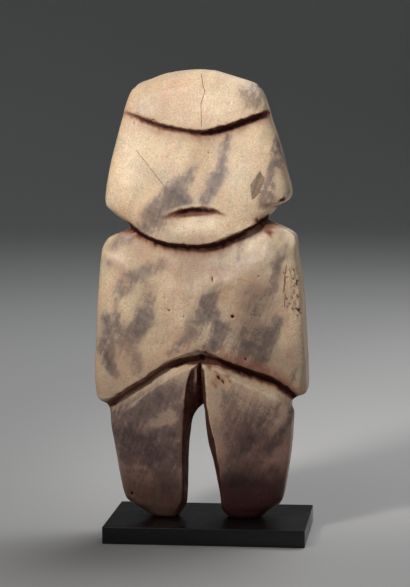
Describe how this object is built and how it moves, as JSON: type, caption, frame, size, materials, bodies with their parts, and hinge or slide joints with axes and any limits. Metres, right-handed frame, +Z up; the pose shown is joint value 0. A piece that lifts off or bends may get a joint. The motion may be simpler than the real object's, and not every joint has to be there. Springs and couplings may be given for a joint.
{
  "type": "standing stone figure on a display stand",
  "caption": "Flat standing figure carved from one veined stone, with brow ledge, mouth, chin, neck and waist grooves and parted legs, upright on a thin black stand.",
  "frame": {"origin": "middle of the stand's underside", "axes": "+Z up, the figure faces -Y, +X towards the figure's left hand side, which is the viewer's right"},
  "size_m": [0.1242, 0.08, 0.2703],
  "materials": {
    "veined_stone": "ground smooth, worn, cream with blue-grey veins",
    "black_stand": "satin black"
  },
  "bodies": {
    "root": {"stone_figure": "veined_stone", "display_stand": "black_stand"}
  },
  "joints": []
}
